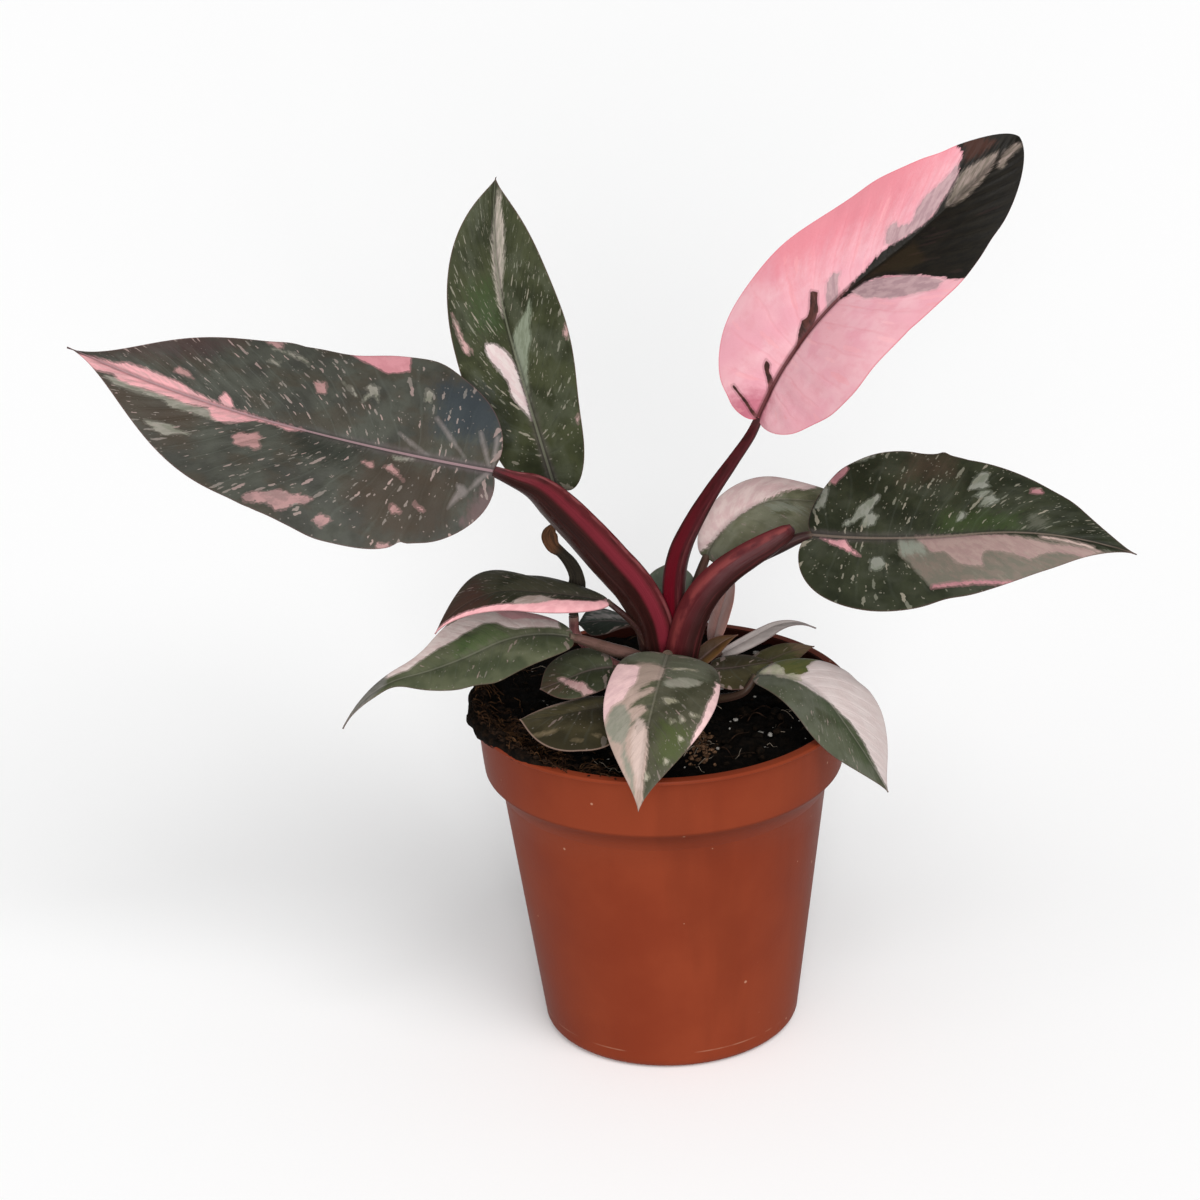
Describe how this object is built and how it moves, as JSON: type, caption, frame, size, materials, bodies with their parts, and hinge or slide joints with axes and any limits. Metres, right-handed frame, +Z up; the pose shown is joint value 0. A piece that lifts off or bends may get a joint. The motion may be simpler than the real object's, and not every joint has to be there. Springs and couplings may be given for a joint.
{
  "type": "pink princess philodendron in a nursery pot",
  "caption": "Potted aroid house plant with heart-based, pink and dark green marbled blades on dark red channelled petioles, growing from soil in a tapered terracotta-coloured plastic pot.",
  "frame": {"origin": "middle of the pot's underside, on the pot's axis", "axes": "+Z up along the pot's axis, -Y towards the plant's front, the large dark blade reaching out along -X and the pink blade rising towards +X"},
  "size_m": [0.3223, 0.1313, 0.2863],
  "materials": {
    "pot_plastic": "matt terracotta-coloured moulded plastic",
    "potting_soil": "rough black peat with fibres and perlite",
    "petiole": "glossy dark red skin",
    "dry_petiole": "dry brown skin",
    "dark_blade": "waxy dark green marbled with pink",
    "pink_blade": "waxy pink with a dark green patch",
    "mixed_blade": "waxy sage green and cream pink"
  },
  "bodies": {
    "root": {"pot": "pot_plastic", "soil": "potting_soil", "stem_and_petioles": "petiole", "dry_stalk": "dry_petiole", "dry_sheath": "dry_petiole", "blade_left": "dark_blade", "blade_upright": "dark_blade", "blade_pink": "pink_blade", "blade_right": "dark_blade", "blade_back": "mixed_blade", "blade_front": "mixed_blade", "blade_front_right": "mixed_blade", "blade_left_upper": "dark_blade", "blade_left_lower": "mixed_blade", "blade_crown_left": "dark_blade", "blade_over_soil": "dark_blade", "blade_crown_right": "dark_blade", "blade_narrow_right": "mixed_blade", "blade_olive_right": "dark_blade", "blade_crown_back_left": "dark_blade", "blade_pale_back": "mixed_blade", "blade_crown_back": "dark_blade"}
  },
  "joints": []
}
